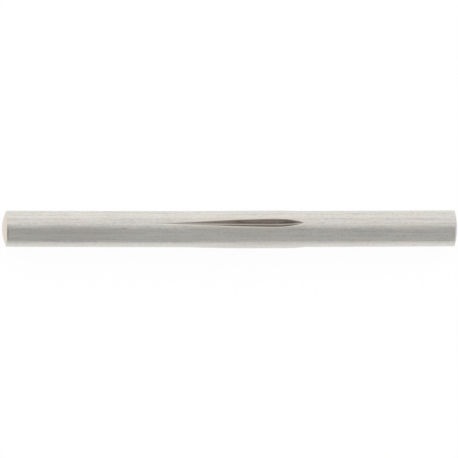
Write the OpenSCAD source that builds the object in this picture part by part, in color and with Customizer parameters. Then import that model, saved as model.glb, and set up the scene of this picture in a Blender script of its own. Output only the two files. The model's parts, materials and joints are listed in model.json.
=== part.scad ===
// Grooved pin: a plain drawn shank with crowned ends and three swaged grooves
// in its middle third. Pressing the grooves in raises a lip along both sides of
// each one, and it is those lips that wedge the pin into a plain drilled hole.
//
// The pin lies along X with the middle of its length at the origin. Its lead end
// is at -X, and the blunt ends of the grooves face the tail end at +X.

/* [Shank] */
// Diameter of the plain shank
shank_d = 3.96; // [3:0.01:6]
// Length over both crowned ends
pin_l = 50; // [36:0.1:80]
// How far the shank swells between the grooves, on the radius
swell = 0.01; // [0.005:0.005:0.02]
// How far the swell reaches past the grooves at each end
swell_run = 1; // [0.5:0.1:3]

/* [Ends] */
// Height of the crown on the lead end
lead_crown_h = 0.47; // [0.2:0.01:0.8]
// Height of the crown on the tail end
tail_crown_h = 0.30; // [0.2:0.01:0.8]
// Length of the bevel that breaks the edge between crown and shank
edge_break = 0.08; // [0.04:0.01:0.2]

/* [Grooves] */
// How many grooves there are round the pin
groove_count = 3; // [2:1:4]
// Turn of the first groove from straight up, towards +Y, as the pin lies
groove_roll = 17; // [0:0.5:90]
// Length of the ramp on which a groove deepens
ramp_l = 11.9; // [8:0.1:16]
// Where the ramp ends, from the middle of the pin
ramp_end_x = 4.3; // [-2:0.1:6]
// Depth of a groove at the end of its ramp, below the shank
groove_depth = 0.35; // [0.2:0.01:0.5]
// Angle between the two flanks of a groove
groove_angle = 90; // [60:1:110]
// Radius in the bottom of a groove
root_r = 0.10; // [0.05:0.01:0.15]
// Radius of the arc on which a groove rises out of the shank
runout_r = 14.5; // [8:0.5:40]

/* [Lips] */
// How far the swaging lifts the metal at a groove, on the radius
lip_h = 0.139; // [0.08:0.001:0.2]
// Length on which a lip climbs out of the shank
lip_rise_l = 6.6; // [4:0.1:10]
// Length on which it then runs level
lip_level_l = 4.8; // [2:0.1:6]
// How far of that is past the end of the groove's ramp
lip_past = 1.3; // [0.5:0.1:2]
// Radius of the arc on which a lip falls back to the shank
lip_fall_r = 30; // [20:1:60]
// Bare shank left between two neighbouring lips, in degrees
lip_gap = 28; // [6:1:30]

/* [Hidden] */
$fn = 96;
// Facets in a full turn of the wide arcs, of which only a few degrees are used
arc_fn = 720;
// Lean of the end bevels, from the end face
bevel_angle = 60;
// How far a lip or a groove's tool runs on past the surface of the shank
overrun = 0.03;

shank_r = shank_d / 2;
ramp_start_x = ramp_end_x - ramp_l;

// A lip's section is a circle that is off the pin's axis. It passes lip_h above
// the shank over the groove and meets the shank lip_reach to each side of it.
lip_reach = 180 / groove_count - lip_gap / 2;
lip_offset = (2 * shank_r * lip_h + pow(lip_h, 2))
    / (2 * (shank_r + lip_h - shank_r * cos(lip_reach)));
lip_r = shank_r + lip_h - lip_offset;

groove_slope = atan(groove_depth / ramp_l);

// The turn from the top of an arc to where it has dropped by "drop"
function turn_to(drop, radius) = acos(1 - drop / radius);

groove_turn = groove_slope + turn_to(groove_depth + lip_h + overrun, runout_r);
runout_end_x = ramp_end_x + runout_r * (sin(groove_slope) + sin(turn_to(groove_depth, runout_r)));

// Half outline of one end, outwards from its rim at y = 0: a domed crown whose
// edge with the shank is broken by a short steep bevel
module crown_profile(height) {
    radius = (pow(shank_r, 2) + pow(height, 2)) / (2 * height);
    intersection() {
        translate([0, height - radius]) circle(radius, $fn = arc_fn);
        polygon([
            [0, -edge_break],
            [shank_r, -edge_break],
            [0, shank_r * tan(bevel_angle) - edge_break],
        ]);
    }
}

// Half of the pin's lengthwise outline, with the axis along y
module shank_profile() {
    lead_rim = -pin_l / 2 + lead_crown_h;
    tail_rim = pin_l / 2 - tail_crown_h;
    polygon([
        [0, lead_rim + edge_break],
        [shank_r, lead_rim + edge_break],
        [shank_r, ramp_start_x - swell_run],
        [shank_r + swell, (ramp_start_x + runout_end_x) / 2],
        [shank_r, runout_end_x + swell_run],
        [shank_r, tail_rim - edge_break],
        [0, tail_rim - edge_break],
    ]);
    translate([0, lead_rim]) mirror([0, 1]) crown_profile(lead_crown_h);
    translate([0, tail_rim]) crown_profile(tail_crown_h);
}

module shank() {
    rotate([0, 90, 0]) rotate_extrude() shank_profile();
}

// The metal raised over one groove: a tapered rod that comes out of the shank,
// runs level past the end of the groove's ramp and dives back on an arc. Only
// the side that breaks the surface is kept, so that neighbouring lips stay apart.
module lip() {
    path_r = lip_fall_r - lip_r;
    drop = lip_h + overrun;
    intersection() {
        translate([ramp_end_x + lip_past, 0, lip_offset]) {
            rotate([0, -90, 0]) {
                cylinder(h = lip_level_l, r = lip_r);
                translate([0, 0, lip_level_l])
                    cylinder(h = lip_rise_l * drop / lip_h, r1 = lip_r, r2 = lip_r - drop);
            }
            translate([0, 0, -path_r]) rotate([-90, -90, 0])
                rotate_extrude(angle = turn_to(drop, lip_fall_r), $fn = arc_fn)
                    translate([path_r, 0]) circle(lip_r);
        }
        translate([-pin_l / 2, -shank_d, shank_r * cos(180 / groove_count)])
            cube([pin_l, 2 * shank_d, shank_d]);
    }
}

// Section of the swaging tool, with the tip of its rounded nose at the origin
module tool_profile() {
    half = groove_angle / 2;
    nose_x = root_r * cos(half);
    nose_y = root_r * (1 - sin(half));
    height = 2 * (groove_depth + lip_h);
    intersection() {
        translate([0, root_r]) circle(root_r);
        translate([-root_r, 0]) square([2 * root_r, nose_y]);
    }
    polygon([
        [-nose_x, nose_y],
        [nose_x, nose_y],
        [nose_x + (height - nose_y) * tan(half), height],
        [-nose_x - (height - nose_y) * tan(half), height],
    ]);
}

// What the tool presses out: straight down the ramp, then up and out on an arc
module groove() {
    fall_l = ramp_l + overrun / tan(groove_slope);
    translate([ramp_end_x, 0, shank_r - groove_depth]) rotate([0, groove_slope, 0]) {
        translate([-fall_l, 0, 0]) rotate([90, 0, 90]) linear_extrude(fall_l) tool_profile();
        translate([0, 0, runout_r]) rotate([90, 90, 0])
            rotate_extrude(angle = groove_turn, $fn = arc_fn)
                translate([runout_r, 0]) rotate(90) tool_profile();
    }
}

// One copy for each groove, evenly round the pin
module around() {
    for (i = [0:groove_count - 1]) rotate([i * 360 / groove_count, 0, 0]) children();
}

// The first groove is made on top, and the finished pin is then rolled
module pin() {
    color("silver") rotate([-groove_roll, 0, 0]) difference() {
        union() {
            shank();
            around() lip();
        }
        around() groove();
    }
}

pin();
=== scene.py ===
# %% [markdown]
# # A grooved pin, from rule to render
#
# A grooved pin is a short length of drawn steel bar with a crown turned on each
# end. Three V grooves are pressed into its middle third, and the metal that they
# push aside stands up along them as low lips. When the pin is driven into a plain
# drilled hole, the lips are squeezed back and hold it in place.
#
# It is one solid piece with no joints. The lesson builds it as one mesh whose
# shape follows a rule, gives it a drawn steel finish, and lights it on a pale
# table. Every length is in metres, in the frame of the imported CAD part.

# %% Load the frame
import json
import math

import bpy
import bmesh
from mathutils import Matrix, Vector


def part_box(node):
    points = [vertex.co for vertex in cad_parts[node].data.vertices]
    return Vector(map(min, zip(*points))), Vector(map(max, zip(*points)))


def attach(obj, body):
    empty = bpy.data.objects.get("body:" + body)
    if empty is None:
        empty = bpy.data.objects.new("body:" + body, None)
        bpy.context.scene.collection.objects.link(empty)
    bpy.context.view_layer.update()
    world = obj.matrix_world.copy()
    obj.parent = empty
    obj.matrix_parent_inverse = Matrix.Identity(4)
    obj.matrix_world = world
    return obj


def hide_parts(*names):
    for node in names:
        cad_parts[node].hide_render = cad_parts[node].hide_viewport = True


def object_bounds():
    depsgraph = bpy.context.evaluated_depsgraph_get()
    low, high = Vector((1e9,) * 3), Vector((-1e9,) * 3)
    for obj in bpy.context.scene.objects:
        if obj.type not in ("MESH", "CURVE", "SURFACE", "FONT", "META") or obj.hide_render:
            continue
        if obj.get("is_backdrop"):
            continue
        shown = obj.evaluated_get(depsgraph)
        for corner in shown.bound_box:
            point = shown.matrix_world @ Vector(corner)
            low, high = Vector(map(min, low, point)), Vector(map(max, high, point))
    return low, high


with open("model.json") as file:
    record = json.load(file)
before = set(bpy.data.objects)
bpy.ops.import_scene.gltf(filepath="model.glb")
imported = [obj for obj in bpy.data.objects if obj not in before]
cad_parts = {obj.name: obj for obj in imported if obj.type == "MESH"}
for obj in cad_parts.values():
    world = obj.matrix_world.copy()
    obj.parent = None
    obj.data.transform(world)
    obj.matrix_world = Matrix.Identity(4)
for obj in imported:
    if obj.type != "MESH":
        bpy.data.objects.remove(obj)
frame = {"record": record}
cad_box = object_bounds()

MM = 0.001
pin_low, pin_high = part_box("pin")
print("the CAD pin is", [round(side / MM, 3) for side in pin_high - pin_low], "mm")

# %% [markdown]
# ## The sizes
#
# The frame gives the length and the shank: each plain end is a mount with its own
# radius. The sizes of the ends, the grooves and the lips repeat those of the CAD
# part, because a script can't read them back from a mesh. The rest belong to the
# real pin and not to its drawing. A small round takes the place of the bevel at each
# end, the crest of a lip is no knife edge, a lip fades softly into the shank and
# reaches a little further round it, and the bar isn't quite straight. The tool came
# down askew, so a groove leans to one side and drifts round the pin at its blunt end.

# %% Sizes of the pin
mounts = {mount["name"]: mount for mount in frame["record"]["mounts"]}
shank_r = mounts["plain_tail_end"]["dims"]["r_mm"] * MM

GROOVES = 3
sizes = {
    "Length": pin_high.x - pin_low.x,
    "Shank radius": shank_r,
    "Swell": 0.01 * MM,
    "Lead crown height": 0.47 * MM,
    "Tail crown height": 0.30 * MM,
    "Ramp length": 11.9 * MM,
    "Ramp end": 4.3 * MM,
    "Groove depth": 0.35 * MM,
    "Flank lean": math.radians(45),
    "Root round": 0.10 * MM,
    "Groove run-out": 14.5 * MM,
    "Groove roll": math.radians(17),
    "Lip height": 0.139 * MM,
    "Lip rise": 6.6 * MM,
    "Lip level": 4.8 * MM,
    "Lip past ramp": 1.3 * MM,
    "Lip fall": 30 * MM,
    # Of the real pin only
    "Edge round": 0.10 * MM,
    "Crest round": 0.09 * MM,
    "Lip blend": 0.02 * MM,
    "Lip reach": math.radians(50),
    "Bow": 0.065 * MM,
    "Groove lean": math.radians(5.4),
    "Groove drift": math.radians(1.8),
}
print("over the lips", round(2 * (shank_r + sizes["Lip height"]) / MM, 2), "mm")

# %% [markdown]
# ## Arithmetic in a node tree
#
# The rule for the surface is a page of arithmetic, and in Geometry Nodes each
# step of it is a Math node. Placing them by hand would hide the rule, so a small
# class stands for a number inside a tree: adding two such numbers adds a Math
# node and the links to it. The same class serves the shader later, because both
# kinds of tree share the Math node.


# %% A number inside a tree
class Term:
    """The output of a node, which takes part in sums like a plain number."""

    def __init__(self, tree, socket):
        self.tree, self.socket = tree, socket

    def __add__(self, other):
        return work(self.tree, "ADD", self, other)

    def __radd__(self, other):
        return work(self.tree, "ADD", other, self)

    def __sub__(self, other):
        return work(self.tree, "SUBTRACT", self, other)

    def __rsub__(self, other):
        return work(self.tree, "SUBTRACT", other, self)

    def __mul__(self, other):
        return work(self.tree, "MULTIPLY", self, other)

    def __rmul__(self, other):
        return work(self.tree, "MULTIPLY", other, self)

    def __truediv__(self, other):
        return work(self.tree, "DIVIDE", self, other)

    def __rtruediv__(self, other):
        return work(self.tree, "DIVIDE", other, self)

    def do(self, operation, *others):
        return work(self.tree, operation, self, *others)

    def share(self, start, end):
        """0 up to start, 1 from end, and even between."""
        part = (self - start) / (end - start)
        return part.do("MAXIMUM", 0).do("MINIMUM", 1)


# %% [markdown]
# ## Adding nodes
#
# Every tree of this lesson is built with three helpers. One links or sets an
# input, one adds a Math node, and one adds any other node with its inputs by name.


# %% Helpers that add nodes
def plug(tree, value, socket):
    """Links a Term or a socket, or sets a plain value."""
    if isinstance(value, Term):
        value = value.socket
    if isinstance(value, bpy.types.NodeSocket):
        tree.links.new(value, socket)
    else:
        socket.default_value = value


def work(tree, operation, *values):
    """A Math node on the values given."""
    node = tree.nodes.new("ShaderNodeMath")
    node.operation = operation
    for value, socket in zip(values, node.inputs):
        plug(tree, value, socket)
    return Term(tree, node.outputs[0])


def add_node(tree, kind, settings=None, **inputs):
    """A node with its settings, and its inputs by name with _ for each space."""
    node = tree.nodes.new(kind)
    for name, value in (settings or {}).items():
        setattr(node, name, value)
    for name, value in inputs.items():
        plug(tree, value, node.inputs[name.replace("_", " ")])
    return node


# %% [markdown]
# ## The tree and its grid
#
# The pin's skin is one grid rolled into a tube. Its rings are counted along the
# length and its columns round it. A curve swept into a tube would give evenly
# spaced columns, but a groove's tip is a hair wide, so here the columns are free to
# gather at the grooves. Each vertex knows its ring and its column from its index.

# %% Start the tree
RINGS_END = 22
RINGS_PLAIN = 16
RINGS_GROOVED = 214
COLUMNS_A_SIDE = 48
rings = 2 * RINGS_END + 2 * RINGS_PLAIN + RINGS_GROOVED
columns = 2 * COLUMNS_A_SIDE * GROOVES

tree = bpy.data.node_groups.new("grooved pin rule", "GeometryNodeTree")
tree.interface.new_socket(name="Geometry", in_out="OUTPUT", socket_type="NodeSocketGeometry")
identifiers = {}
for name, size in sizes.items():
    item = tree.interface.new_socket(name=name, in_out="INPUT", socket_type="NodeSocketFloat")
    item.default_value = size
    identifiers[name] = item.identifier
steel_input = tree.interface.new_socket(
    name="Finish", in_out="INPUT", socket_type="NodeSocketMaterial"
)

entry = tree.nodes.new("NodeGroupInput")
size = {name: Term(tree, entry.outputs[name]) for name in sizes}
grid = add_node(
    tree,
    "GeometryNodeMeshGrid",
    Size_X=1,
    Size_Y=1,
    Vertices_X=rings + 1,
    Vertices_Y=columns + 1,
)
index = Term(tree, tree.nodes.new("GeometryNodeInputIndex").outputs[0])
ring = (index / (columns + 1)).do("FLOOR")
column = index - ring * (columns + 1)
print(rings, "rings of", columns, "columns, so about", 2 * rings * columns, "triangles")

# %% [markdown]
# ## The ends
#
# Each end is a shallow crown, part of a large ball, and a small round breaks the
# edge between crown and shank. Both are arcs, so a ring there is placed by the
# direction its skin faces: 0 at the tip of the crown, 90 degrees on the shank. The
# round touches the crown's ball from inside, which settles where it sits and the
# direction at which one arc hands over to the other.


# %% Outline of an end
def crowned_end(height, step):
    """A ring's distance in from the tip, its radius, the length of the end, and
    how much of the ring is crown, for a step from 0 at the tip to 1 at the shank."""
    ball = (size["Shank radius"] * size["Shank radius"] + height * height) / (2 * height)
    arc = size["Edge round"]
    inner = ball - arc
    across = size["Shank radius"] - arc
    along = (inner * inner - across * across).do("SQRT")
    hand_over = (across / inner).do("ARCSINE")
    on_ball = step.share(0, 0.5)
    on_edge = step.share(0.5, 1)
    facing = hand_over * on_ball + (math.pi / 2 - hand_over) * on_edge
    edge = step.do("GREATER_THAN", 0.5)
    radius = ball + (arc - ball) * edge
    middle = ball - along * edge
    inward = middle - radius * facing.do("COSINE")
    outward = across * edge + radius * facing.do("SINE")
    return inward, outward, ball - along, 1 - on_edge


def on_end(step):
    """1 on the rings of an end, 0 from its last ring inwards. The last step may
    come out a hair under 1."""
    return 1 - step.do("GREATER_THAN", 0.999)


lead_step = (ring / RINGS_END).do("MINIMUM", 1)
tail_step = ((rings - ring) / RINGS_END).do("MINIMUM", 1)
lead_in, lead_radius, lead_run, lead_crown = crowned_end(size["Lead crown height"], lead_step)
tail_in, tail_radius, tail_run, tail_crown = crowned_end(size["Tail crown height"], tail_step)
for end in ("Lead crown height", "Tail crown height"):
    ball_r = (shank_r**2 + sizes[end] ** 2) / (2 * sizes[end])
    print(end.split()[0].lower(), "crown is part of a ball of", round(ball_r / MM, 2), "mm radius")

# %% [markdown]
# ## The stations along the shank
#
# The plain ends need few rings, because nothing happens there. Most rings go to
# the grooved stretch, from just before the grooves' tips to just past their blunt
# ends.

# %% Stations along the length
# From the end of the ramp to the blunt end of the groove
RUN_OUT_LENGTH = 3.59 * MM
# How far the swell reaches past the grooves
SWELL_RUN = 1 * MM
half_l = size["Length"] / 2
grooved_from = size["Ramp end"] - size["Ramp length"] - SWELL_RUN
grooved_to = size["Ramp end"] + (RUN_OUT_LENGTH + SWELL_RUN)

shank_from = lead_run - half_l
shank_to = half_l - tail_run
on_lead = ring.share(RINGS_END, RINGS_END + RINGS_PLAIN)
on_grooved = ring.share(RINGS_END + RINGS_PLAIN, rings - RINGS_END - RINGS_PLAIN)
on_tail = ring.share(rings - RINGS_END - RINGS_PLAIN, rings - RINGS_END)
station = (
    lead_in
    - half_l
    + (grooved_from - shank_from) * on_lead
    + (grooved_to - grooved_from) * on_grooved
    + (shank_to - grooved_to) * on_tail
    + (tail_run - tail_in)
)
grooved_length = sizes["Ramp length"] + RUN_OUT_LENGTH + 2 * SWELL_RUN
print("in the grooved stretch a ring every", round(grooved_length / RINGS_GROOVED / MM, 3), "mm")

# %% [markdown]
# ## The rule of the lips
#
# Pressing a groove lifts the metal up to 50 degrees to each side of it, most of all
# right beside the groove. Seen end on, such a lip is part of a circle a little smaller
# than the shank and off its centre. The circle grows as the lip climbs, keeps its
# size where the lip runs level, and its centre sinks on an arc where the lip falls
# away. Where the lip is lower than the shank, the shank shows.


# %% Radius of the shank and the lips
swell_middle = (grooved_from + grooved_to) / 2
swell_half = (grooved_to - grooved_from) / 2
swollen = (1 - ((station - swell_middle) / swell_half).do("ABSOLUTE")).do("MAXIMUM", 0)
plain_r = lead_radius + tail_radius - size["Shank radius"] + size["Swell"] * swollen

lip_top = size["Shank radius"] + size["Lip height"]
lip_offset = (lip_top * lip_top - size["Shank radius"] * size["Shank radius"]) / (
    2 * (lip_top - size["Shank radius"] * size["Lip reach"].do("COSINE"))
)
lip_end = size["Ramp end"] + size["Lip past ramp"]
still_to_climb = (lip_end - size["Lip level"] - station).do("MAXIMUM", 0)
falling = (station - lip_end).do("MAXIMUM", 0)
full_r = lip_top - lip_offset
lip_r = full_r - size["Lip height"] * still_to_climb / size["Lip rise"]
lip_path = size["Lip fall"] - full_r
lip_centre = lip_offset + (lip_path * lip_path - falling * falling).do("SQRT") - lip_path
print("ends, stations and lips take", len(tree.nodes), "nodes")

# %% [markdown]
# ## The rule of the grooves
#
# The tool is a V with a rounded nose. Its nose follows the ramp down and then an
# arc up and out of the pin. With the flanks drawn on to the point where they would
# meet, a ray from the pin's axis reaches a flank at a distance that the rule of
# sines gives. The nose is a small curve over that point. Because the tool leaned,
# the flank on one side is wide and the one on the other side is steep.

# %% Height of the root and width of the groove
beyond = station - size["Ramp end"]
groove_slope = (size["Groove depth"] / size["Ramp length"]).do("ARCTANGENT")
arc_x = beyond - size["Groove run-out"] * groove_slope.do("SINE")
arc_square = size["Groove run-out"] * size["Groove run-out"] - arc_x * arc_x
ramp_rise = 0 - beyond * groove_slope.do("TANGENT")
arc_middle = size["Groove run-out"] * groove_slope.do("COSINE")
arc_rise = arc_middle - arc_square.do("MAXIMUM", 0).do("SQRT")
rise = ramp_rise + (arc_rise - ramp_rise) * beyond.do("GREATER_THAN", 0)
root_height = size["Shank radius"] - size["Groove depth"] + rise

side = (column / COLUMNS_A_SIDE).do("WRAP", 1, -1)
lean = size["Flank lean"] + size["Groove lean"] * side.do("SIGN")
nose = size["Root round"] * (1 / size["Flank lean"].do("SINE") - 1)
point_height = root_height - nose

# Where the flank comes out through the lip, as an angle from the groove's middle
crest_r = (lip_centre + lip_r).do("MAXIMUM", size["Shank radius"])
crest_reach = (point_height * lean.do("SINE") / crest_r).do("MINIMUM", 1).do("ARCSINE")
crest_angle = (lean - crest_reach).do("MAXIMUM", 0)
ramp_slope = math.atan(sizes["Groove depth"] / sizes["Ramp length"])
print("the ramp goes down at", round(math.degrees(ramp_slope), 2), "degrees")

# %% [markdown]
# ## Columns that follow the crests
#
# Nearly half of each side's columns lie inside the groove and fan out with it, so
# a column runs close along each crest and keeps it clean. The rest cover the skin
# up to the middle of the gap between two grooves, close together beside the crest
# and wider apart from there on. Away from the grooves the fan opens until all
# columns are evenly spaced.

# %% Angle of each column
# Share of the columns inside the groove, and how far they close up at its tips
FAN_SHARE = 0.42
NARROWEST_FAN = math.radians(1.6)
# Distances from the middle of the grooves between which the fan opens
FAN_OPENS = (0.5 * sizes["Ramp length"] + 3 * MM, 16 * MM)
# First gap between columns past the crest, as a share of an even one
FIRST_GAP = 0.4
# Distances past the ramp between which the groove drifts
DRIFTS = (1.2 * MM, 4 * MM)
sector = 2 * math.pi / GROOVES

groove_number = ((column + COLUMNS_A_SIDE) / (2 * COLUMNS_A_SIDE)).do("FLOOR")
reach = side.do("ABSOLUTE")
away = (station - swell_middle).do("ABSOLUTE").share(*FAN_OPENS)
fan = crest_angle.do("MAXIMUM", NARROWEST_FAN)
fan = fan + (FAN_SHARE * sector / 2 - fan) * away
in_fan = reach.share(0, FAN_SHARE)
past_fan = reach.share(FAN_SHARE, 1)
past_fan = past_fan * (away + (1 - away) * (FIRST_GAP + (1 - FIRST_GAP) * past_fan))
from_groove = fan * in_fan + (sector / 2 - fan) * past_fan
drift = size["Groove drift"] * beyond.share(*DRIFTS)
turn = groove_number * sector + from_groove * side.do("SIGN") + size["Groove roll"] + drift
print(round(2 * FAN_SHARE * COLUMNS_A_SIDE), "columns run inside each groove")

# %% [markdown]
# ## The skin
#
# Every ray from the axis now meets the plain shank, a lip and perhaps the tool.
# The outer of the first two is the skin, and the tool cuts it back. A smooth
# minimum rounds the crest where they meet, and a smooth maximum lets the lip flow
# out of the shank. The crowned ends have neither lips nor grooves, so there the
# lip is put far inside the pin and the tool far outside it.

# %% Radius of each vertex
# A ray past the tool never meets it, which would mean dividing by nothing
LEAST_OPENING = 0.05
across = from_groove.do("SINE")
lip_across = lip_centre * across
lip_skin = lip_centre * from_groove.do("COSINE") + (
    lip_r * lip_r - lip_across * lip_across
).do("MAXIMUM", 0).do("SQRT")
on_shank = 1 - on_end(lead_step).do("MAXIMUM", on_end(tail_step))
lip_skin = lip_skin * on_shank - (1 - on_shank)
skin_r = plain_r.do("SMOOTH_MAX", lip_skin, size["Lip blend"])

nose_share = (1 - point_height / root_height) * lean.do("TANGENT")
rounded = (across * across + nose_share * nose_share).do("SQRT")
opening = from_groove.do("COSINE") - rounded / lean.do("TANGENT")
tool_r = point_height / opening.do("MAXIMUM", LEAST_OPENING) + (1 - on_shank)
vertex_r = skin_r.do("SMOOTH_MIN", tool_r, size["Crest round"])
print("the radius of the skin takes", len(tree.nodes), "nodes")

# %% [markdown]
# ## What the finish needs to know
#
# The grooves are stained, the crest over each steep flank takes a painted highlight
# and the crowns are turned, and only the rule knows where each of these is. So the
# tree leaves numbers on the mesh for the shader: how far a vertex is inside a groove,
# on a crest, on the root, on a crown and beside a groove, and on which side of the
# groove it lies. The bright line along the root, which the tool polished and which is
# partly a painted highlight, is wider where the groove is shallow and on the steep flank.

# %% Numbers for the finish
# Depth below the skin from which the stain starts, and at which it is full
STAIN_DEPTH = (0.008 * MM, 0.07 * MM)
# Distance between tool and skin up to which a crest takes a painted highlight, and where that ends
CREST_WIDTH = (0.015 * MM, 0.07 * MM)
# Half width of the root's line, what a shallow groove and the steep flank add to
# it, and the width of its soft rim
ROOT_LINE = 0.03 * MM
ROOT_LINE_MORE = 0.03 * MM
ROOT_RIM = 0.08 * MM
# Angles from the crest between which the oily tint fades
OILY = (math.radians(2), math.radians(20))
# Half width of the groove from which that tint is full
OILY_GROOVE = math.radians(6)
# Stations between which the groove stops being shallow
DEEPENS = (-1 * MM, 2 * MM)

below_skin = (skin_r - vertex_r).share(*STAIN_DEPTH)
near_crest = 1 - (skin_r - tool_r).do("ABSOLUTE").share(*CREST_WIDTH)
shallow = 1 - station.share(*DEEPENS)
steep_side = side.do("LESS_THAN", 0)
# The root's bright line is partly a painted highlight, wider where the groove is shallow and on
# the steep flank
root_line = ROOT_LINE + ROOT_LINE_MORE * shallow + ROOT_LINE_MORE * steep_side
from_root = (vertex_r * across).do("ABSOLUTE")
near_root = 1 - from_root.share(root_line, root_line + ROOT_RIM)
beside = 1 - (from_groove - crest_angle).do("ABSOLUTE").share(*OILY)
marks = {
    "in groove": below_skin,
    "on crest": near_crest,
    "at root": near_root * below_skin,
    "on crown": lead_crown * on_end(lead_step) + tail_crown * on_end(tail_step),
    "beside groove": beside * (crest_angle / OILY_GROOVE).do("MINIMUM", 1),
    "groove side": side.do("SIGN"),
}
print("numbers for the finish:", ", ".join(marks))

# %% [markdown]
# ## Finish the tree
#
# The grid takes its shape, keeps the numbers as attributes and its own map for a
# later bake, and is closed: the seam and the two poles are merged. The bow moves
# each ring sideways by a few hundredths of a millimetre.

# %% Shape the grid
bend = station / half_l
sideways = size["Bow"] * (bend * bend - 0.5)
place = add_node(
    tree,
    "ShaderNodeCombineXYZ",
    X=station,
    Y=vertex_r * turn.do("SINE") + sideways,
    Z=vertex_r * turn.do("COSINE"),
)
shaped = add_node(
    tree, "GeometryNodeSetPosition", Geometry=grid.outputs["Mesh"], Position=place.outputs[0]
)
carried = shaped.outputs[0]

# %% Keep the numbers and close the mesh
# Far less than any edge, but more than the seam's rounding
SAME_PLACE = 0.0001 * MM
for name, value in marks.items():
    kept = add_node(
        tree,
        "GeometryNodeStoreNamedAttribute",
        {"data_type": "FLOAT", "domain": "POINT"},
        Geometry=carried,
        Name=name,
        Value=value,
    )
    carried = kept.outputs[0]
kept = add_node(
    tree,
    "GeometryNodeStoreNamedAttribute",
    {"data_type": "FLOAT2", "domain": "CORNER"},
    Geometry=carried,
    Name="OFBake",
    Value=grid.outputs["UV Map"],
)
closed = add_node(
    tree, "GeometryNodeMergeByDistance", Geometry=kept.outputs[0], Distance=SAME_PLACE
)
smooth = add_node(tree, "GeometryNodeSetShadeSmooth", Geometry=closed.outputs[0])
real = add_node(tree, "GeometryNodeRealizeInstances", Geometry=smooth.outputs[0])
finished = add_node(
    tree,
    "GeometryNodeSetMaterial",
    Geometry=real.outputs[0],
    Material=entry.outputs["Finish"],
)
leave = tree.nodes.new("NodeGroupOutput")
tree.links.new(finished.outputs[0], leave.inputs[0])
print("the rule takes", len(tree.nodes), "nodes")

# %% [markdown]
# ## Drawn steel
#
# The bar was drawn through a die, which leaves fine lines along it. Steel looks
# grey or white by what it mirrors, so its own colour varies only a little. The
# patterns read the pin's own coordinates and are stretched along it: the lines run
# for centimetres, a dash or a scratch for a few millimetres, and the mottle for a
# third of one. The numbers are how many grains fit in a metre along each axis.

# %% Helpers for the material
steel = bpy.data.materials.new("drawn steel")
steel.use_nodes = True
look = steel.node_tree
shader = look.nodes["Principled BSDF"]
spot = look.nodes.new("ShaderNodeTexCoord").outputs["Object"]
shader.inputs["Metallic"].default_value = 1.0


def pattern(scale, detail, roughness, seed):
    """Noise with a grain of its own along each axis, per metre."""
    mapped = add_node(
        look, "ShaderNodeMapping", Vector=spot, Scale=scale, Location=(seed, seed, seed)
    )
    noise = add_node(
        look,
        "ShaderNodeTexNoise",
        {"noise_dimensions": "3D"},
        Vector=mapped.outputs[0],
        Scale=1.0,
        Detail=detail,
        Roughness=roughness,
    )
    return Term(look, noise.outputs["Fac"])


def mark(name):
    """A number that the rule left on the mesh."""
    node = look.nodes.new("ShaderNodeAttribute")
    node.attribute_name = name
    return Term(look, node.outputs["Fac"])


def blend_colour(amount, first, second):
    """The first colour at 0, the second at 1."""
    node = look.nodes.new("ShaderNodeMix")
    node.data_type = "RGBA"
    plug(look, amount, node.inputs["Factor"])
    for value, socket in ((first, node.inputs["A"]), (second, node.inputs["B"])):
        plug(look, value, socket)
    return node.outputs["Result"]


print("the steel starts with", [node.name for node in look.nodes])


# %% The patterns
fine_lines = pattern((40, 6500, 6500), detail=2, roughness=0.5, seed=3.1)
broad_lines = pattern((20, 2400, 2400), detail=2, roughness=0.5, seed=8.7)
dashes = pattern((260, 4200, 4200), detail=2, roughness=0.5, seed=6.4)
scratches = pattern((380, 6000, 6000), detail=2, roughness=0.5, seed=2.6)
clouds = pattern((420, 900, 900), detail=4, roughness=0.6, seed=1.9)
mottle = pattern((2800, 5500, 5500), detail=2, roughness=0.5, seed=5.3)
print("six patterns in", len(look.nodes), "nodes")

# %% [markdown]
# ## Die lines
#
# Where the die was worn or picked up a grain, it left a line or a band that runs
# straight along the whole bar, a little paler or darker than the rest. Its place is
# a direction round the axis, so each is set by an angle from straight up.

# %% Lines along the whole bar
# Angle towards +Y and half width in degrees, and how much paler
DIE_LINES = (
    (42.0, 8.0, 0.070),
    (32.4, 3.0, -0.045),
    (25.0, 4.6, 0.045),
    (15.8, 5.1, -0.015),
    (-31.5, 12.0, 0.080),
    (-49.2, 8.0, -0.040),
    (-97.0, 6.0, 0.035),
    (-143.0, 4.0, -0.030),
    (101.0, 5.0, -0.030),
    (152.0, 8.0, 0.035),
)
spot_parts = add_node(look, "ShaderNodeSeparateXYZ", Vector=spot)
along, aside, above = (Term(look, spot_parts.outputs[axis]) for axis in "XYZ")
around = aside.do("ARCTAN2", above)
die_lines = 0
for angle, half_width, paler in DIE_LINES:
    off_line = (around - math.radians(angle)).do("ABSOLUTE") / math.radians(half_width)
    die_lines = die_lines + paler * (1 - off_line).do("MAXIMUM", 0)
print(len(DIE_LINES), "die lines")

# %% [markdown]
# ## Colour of the bar
#
# The patterns add up to one tone, which runs from a greyer to a paler steel. A
# warmer tint comes and goes in soft clouds. It is strongest right beside the
# grooves, where a film of the pressing oil has dried.

# %% Tone and warmth
# Each pattern by its weight
tone = broad_lines * 0.06 + fine_lines * 0.26 + dashes * 0.11 + scratches * 0.26 + mottle * 0.34
tone = tone + die_lines
grey_steel = (0.615, 0.607, 0.577, 1)
pale_steel = (0.782, 0.755, 0.70, 1)
warm_steel = (0.76, 0.69, 0.61, 1)
# The tone gathers round a half, so a narrow range takes it from grey to pale
body = blend_colour(tone.share(0.43, 0.57), grey_steel, pale_steel)
warmth = clouds.share(0.45, 0.75) * 0.35 + mark("beside groove") * 0.5
body = blend_colour(warmth.do("MINIMUM", 1), body, warm_steel)
print("with the bar's colour", len(look.nodes), "nodes")
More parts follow.
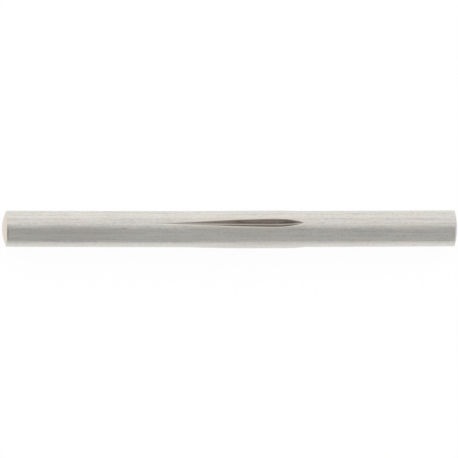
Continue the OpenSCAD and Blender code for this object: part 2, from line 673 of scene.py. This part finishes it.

# %% [markdown]
# ## Marks of handling and painted shade
#
# A pin from a bin of pins carries a few small smears. Each is an ellipse on the
# upper side that fades towards its rim. The first in the list darkens much of the lead
# half a little, and the second is painted shade where the lead crown meets the shank.

# %% Smears and painted shade on the upper side
# Middle along and across the pin, half sizes, and strength
MARKS_AND_SHADE_MM = (
    # A broad, faint darkening over much of the lead half
    (-18.00, -0.55, 9.00, 1.10, 0.18),
    # Painted shade in the corner where the lead crown meets the shank
    (-24.44, -0.40, 0.12, 1.05, 0.55),
    (-11.70, 0.05, 0.50, 0.07, 0.55),
    (-6.25, 0.10, 0.16, 0.10, 0.35),
    (4.28, -0.31, 0.18, 0.10, 0.30),
    (10.50, 1.08, 0.40, 0.06, 0.35),
    (15.90, 0.76, 0.14, 0.10, 0.30),
    (20.10, -1.76, 0.35, 0.05, 0.40),
)
# Colour of the smears, and of the painted shade at the lead crown
dirt_and_shade = (0.33, 0.29, 0.25, 1)
dirt_and_shade_amount = 0
for mark_x, mark_y, half_x, half_y, strength in MARKS_AND_SHADE_MM:
    far_x = (along - mark_x * MM) / (half_x * MM)
    far_y = (aside - mark_y * MM) / (half_y * MM)
    dirt_and_shade_amount = dirt_and_shade_amount + (1 - far_x * far_x - far_y * far_y).do("MAXIMUM", 0) * strength
# Blends in the smears and the painted shade, on the upper side only
body = blend_colour(dirt_and_shade_amount * above.do("GREATER_THAN", 0), body, dirt_and_shade)
print(len(MARKS_AND_SHADE_MM), "marks of handling")

# %% [markdown]
# ## Stain in the grooves
#
# Oil and dirt stay behind in a pressed groove. The wide flank is stained brown, in
# streaks and specks. Towards the groove's blunt end, where the tool came up out of the
# metal, it goes nearly black. The steep flank is greyer, and clean where the groove is
# shallow. The tool's nose has polished the root, so a bright line runs down the middle,
# which is partly a painted highlight, and the crest over the steep flank has a painted highlight.

# %% Stain, and the painted highlight on the crest
# Stations between which the wide flank goes dark, and the steep one is stained
GOES_DARK = (5.2 * MM, 6.1 * MM)
GETS_STAINED = (-6 * MM, 0)
# What range of a pattern takes a streak from faint to full
STREAKS = (0.42, 0.58)
brown_stain = (0.28, 0.218, 0.168, 1)
grey_stain = (0.23, 0.225, 0.215, 1)
# Nearly black, towards the groove's blunt end
blunt_end_dark = (0.145, 0.10, 0.09, 1)
# Colour of the painted highlight on the crest over the steep flank
crest_highlight_colour = (0.88, 0.85, 0.80, 1)
in_groove = mark("in groove")
wide_flank = mark("groove side").share(-0.1, 0.1)
steep_flank = 1 - wide_flank
stain = blend_colour(wide_flank, grey_stain, brown_stain)
# The wide flank turns nearly black towards the groove's blunt end
stain = blend_colour(along.share(*GOES_DARK) * wide_flank, stain, blunt_end_dark)
streaks_in_stain = 0.62 + 0.24 * dashes.share(*STREAKS) + 0.14 * mottle.share(*STREAKS)
# The root is left unstained, polished by the tool and partly a painted highlight
stained = in_groove * (1 - mark("at root") * 0.95) * streaks_in_stain
stained = stained * (wide_flank + steep_flank * along.share(*GETS_STAINED))
body = blend_colour(stained, body, stain)
# A painted highlight along the crest over the steep flank
body = blend_colour(mark("on crest") * steep_flank * 0.8, body, crest_highlight_colour)
print("with the grooves' stain", len(look.nodes), "nodes")

# %% [markdown]
# ## Turned crowns
#
# The crowns were turned on a lathe after the bar was cut, and the tool left rings.
# A ring is where the distance from the axis is the same, so one noise along that
# The lead crown is warmer, and the tail crown is painted darker and cooler as painted shade.

# %% Rings on the crowns
RINGS_A_METRE = 6500
# How much darker the bottom of a ring is
RING_DARKENING = 0.45
warm_crown = (0.83, 0.755, 0.66, 1)
# The tail crown, painted darker and cooler than the lead crown as painted shade
shaded_tail_crown = (0.67, 0.665, 0.675, 1)
ring_bottom_colour = (0.56, 0.50, 0.44, 1)
on_crown = mark("on crown")
from_axis = (aside * aside + above * above).do("SQRT")
ring_noise = add_node(
    look,
    "ShaderNodeTexNoise",
    {"noise_dimensions": "1D"},
    W=from_axis,
    Scale=RINGS_A_METRE,
    Detail=3,
)
rings_cut = Term(look, ring_noise.outputs["Fac"])
# The tail crown takes its painted shade
turned_steel = blend_colour(along.do("GREATER_THAN", 0), warm_crown, shaded_tail_crown)
# The bottom of each ring is darker
ring_bottom_darkening = RING_DARKENING * (1 - rings_cut.share(0.38, 0.66))
turned_steel = blend_colour(ring_bottom_darkening, turned_steel, ring_bottom_colour)
body = blend_colour(on_crown, body, turned_steel)
plug(look, body, shader.inputs["Base Color"])
print("a ring about every", round(1 / RINGS_A_METRE / MM, 2), "mm")

# %% [markdown]
# ## Roughness and relief
#
# Drawn steel is satin: rough enough to blur what it mirrors, but not to hide it.
# The roughness follows the tone and the clouds, and the relief is that of the
# lines and scratches, a few hundredths of a millimetre at most. On the crowns the
# turned rings take their place.

# %% Roughness and bump
roughness = 0.32 + 0.10 * (tone - 0.5) + 0.12 * (clouds - 0.5) + in_groove * 0.08
plug(look, roughness, shader.inputs["Roughness"])
drawn_height = fine_lines * 0.6 + scratches * 0.2 + mottle * 0.2
height = drawn_height + (rings_cut - drawn_height) * on_crown
bump = add_node(look, "ShaderNodeBump", Strength=0.5, Distance=0.03 * MM, Height=height)
plug(look, bump.outputs[0], shader.inputs["Normal"])
print("the steel takes", len(look.nodes), "nodes")

# %% [markdown]
# ## Make the pin
#
# The modifier runs the rule on an empty mesh. Its inputs are set first, and then
# the result is taken as a plain mesh on a new object. A closed mesh has no open
# edges, and its volume is above 0 when its faces point outwards.

# %% Run the rule
seed_mesh = bpy.data.meshes.new("pin seed")
maker = bpy.data.objects.new("pin maker", seed_mesh)
bpy.context.scene.collection.objects.link(maker)
modifier = maker.modifiers.new("rule", "NODES")
modifier.node_group = tree
for name, value in sizes.items():
    modifier[identifiers[name]] = value
modifier[steel_input.identifier] = steel

depsgraph = bpy.context.evaluated_depsgraph_get()
pin_mesh = bpy.data.meshes.new_from_object(
    maker.evaluated_get(depsgraph), preserve_all_data_layers=True, depsgraph=depsgraph
)
maker.modifiers.clear()
bpy.data.objects.remove(maker)
pin_mesh.name = "steel pin"
steel_pin = bpy.data.objects.new("steel_pin", pin_mesh)
bpy.context.scene.collection.objects.link(steel_pin)

skin = bmesh.new()
skin.from_mesh(pin_mesh)
open_edges = sum(not edge.is_manifold for edge in skin.edges)
volume = skin.calc_volume(signed=True)
skin.free()
print(len(pin_mesh.polygons), "faces,", open_edges, "open edges,", round(volume / MM**3, 2), "mm3")

# %% [markdown]
# ## Table
#
# The pin lies on a white table. To the camera, and mirrored in the steel, the
# table glows as well as taking light, which keeps it plain white with only a
# faint shadow. Its near side mirrors a little dimmer, because less of the room's
# light falls there.

# %% The table top
TABLE_HALF = 3.0
table_mesh = bpy.data.meshes.new("white table")
corners = [(-1, -1), (1, -1), (1, 1), (-1, 1)]
table_mesh.from_pydata(
    [(x * TABLE_HALF, y * TABLE_HALF, pin_low.z) for x, y in corners], [], [(0, 1, 2, 3)]
)
white_table = bpy.data.objects.new("white_table", table_mesh)
bpy.context.scene.collection.objects.link(white_table)
print("the table is at z =", round(pin_low.z / MM, 3), "mm")

# %% White paint that glows
GLOW = 1.085
GLOW_SHARE = 0.84
# How much dimmer the near side mirrors, and how far off that is reached
DIMMER = 0.09
DIMMER_BY = -10 * MM
white = bpy.data.materials.new("white table")
white.use_nodes = True
paint = white.node_tree
paint.nodes.remove(paint.nodes["Principled BSDF"])
matt = add_node(paint, "ShaderNodeBsdfDiffuse", Color=(0.9, 0.9, 0.9, 1))
path = paint.nodes.new("ShaderNodeLightPath")
in_camera = Term(paint, path.outputs["Is Camera Ray"])
seen = in_camera.do("MAXIMUM", Term(paint, path.outputs["Is Glossy Ray"]))
seen = seen.do("MAXIMUM", Term(paint, path.outputs["Is Transmission Ray"]))
on_table = add_node(
    paint, "ShaderNodeSeparateXYZ", Vector=paint.nodes.new("ShaderNodeTexCoord").outputs["Object"]
)
near_side = Term(paint, on_table.outputs["Y"]).share(0, DIMMER_BY)
glow = add_node(
    paint,
    "ShaderNodeEmission",
    Color=(1, 1, 1, 1),
    Strength=GLOW - DIMMER * near_side * (1 - in_camera),
)
surface = add_node(paint, "ShaderNodeMixShader", Fac=seen * GLOW_SHARE)
paint.links.new(matt.outputs[0], surface.inputs[1])
paint.links.new(glow.outputs[0], surface.inputs[2])
paint.links.new(surface.outputs[0], paint.nodes["Material Output"].inputs["Surface"])
table_mesh.materials.append(white)
print("the paint takes", len(paint.nodes), "nodes")

# %% [markdown]
# ## Room
#
# Steel mirrors its surroundings, so the bands along the pin are the room's own
# brightness. The room is white on the far side and grey on the near one, with no
# lamp that could leave a glint. Its brightness is listed against the direction,
# from -1 at the near side to 1 at the far side. The grey is a little cool, so the
# steel's own warmth shows less on the near side.

# %% The room
ROOM_LEVELS = (
    (-1.0, 0.38),
    (-0.96, 0.51),
    (-0.55, 0.54),
    (-0.33, 0.47),
    (-0.06, 0.49),
    (0.22, 0.68),
    (0.55, 0.89),
    (0.75, 0.94),
    (0.88, 0.88),
    (0.97, 1.0),
)
# Directions between which the near wall's grey fades, and its lack of red and green
NEAR_WALL = (-0.1, 0.4)
LESS_RED = 0.022
LESS_GREEN = 0.008
room = bpy.data.worlds.new("soft room")
bpy.context.scene.world = room
room.use_nodes = True
air = room.node_tree
facing = air.nodes.new("ShaderNodeTexCoord").outputs["Generated"]
towards = Term(air, add_node(air, "ShaderNodeSeparateXYZ", Vector=facing).outputs["Y"])
level = ROOM_LEVELS[0][1]
for (start, low), (end, high) in zip(ROOM_LEVELS, ROOM_LEVELS[1:]):
    level = level + (high - low) * towards.share(start, end)
plug(air, level, air.nodes["Background"].inputs["Strength"])
near_wall = 1 - towards.share(*NEAR_WALL)
wall_paint = add_node(
    air,
    "ShaderNodeCombineColor",
    Red=1 - LESS_RED * near_wall,
    Green=1 - LESS_GREEN * near_wall,
    Blue=1,
)
plug(air, wall_paint.outputs[0], air.nodes["Background"].inputs["Color"])
print("the room goes from", ROOM_LEVELS[0][1], "to", ROOM_LEVELS[-1][1])

# %% [markdown]
# ## Camera
#
# The camera looks down at the pin through a long lens from far off, so the bar
# hardly narrows towards its ends. It leans a little along the pin, which shows
# the lead crown.

# %% The camera
LENS = 1000
SENSOR = 36
VIEW_WIDTH = 50.23 * MM
VIEW_LEAN = math.radians(3.7)
VIEW_TURN = math.radians(-0.055)
# The spot that the camera looks at
AIM = Vector((-0.08, -0.024, 0)) * MM

camera_data = bpy.data.cameras.new("camera")
camera_data.lens = LENS
camera_data.sensor_width = SENSOR
camera_data.clip_end = 10
camera = bpy.data.objects.new("camera", camera_data)
camera.rotation_euler = (0, -VIEW_LEAN, VIEW_TURN)
line_of_sight = camera.rotation_euler.to_matrix() @ Vector((0, 0, 1))
distance = VIEW_WIDTH * LENS / SENSOR
camera.location = line_of_sight * distance + AIM
bpy.context.scene.collection.objects.link(camera)
bpy.context.scene.camera = camera
bpy.context.scene.view_settings.view_transform = "Standard"
print("the camera is", round(distance, 3), "m off")

# %% [markdown]
# ## Hand the pin over
#
# The steel pin stands for the CAD node and rides on the part's one body. The size
# of both is written down, so that one can be held against the other.

# %% Finish
white_table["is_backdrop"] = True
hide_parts("pin")
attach(steel_pin, "root")

visual_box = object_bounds()
for name, box in (("cad", cad_box), ("visual", visual_box)):
    print(name, [round(side / MM, 3) for side in box[1] - box[0]])
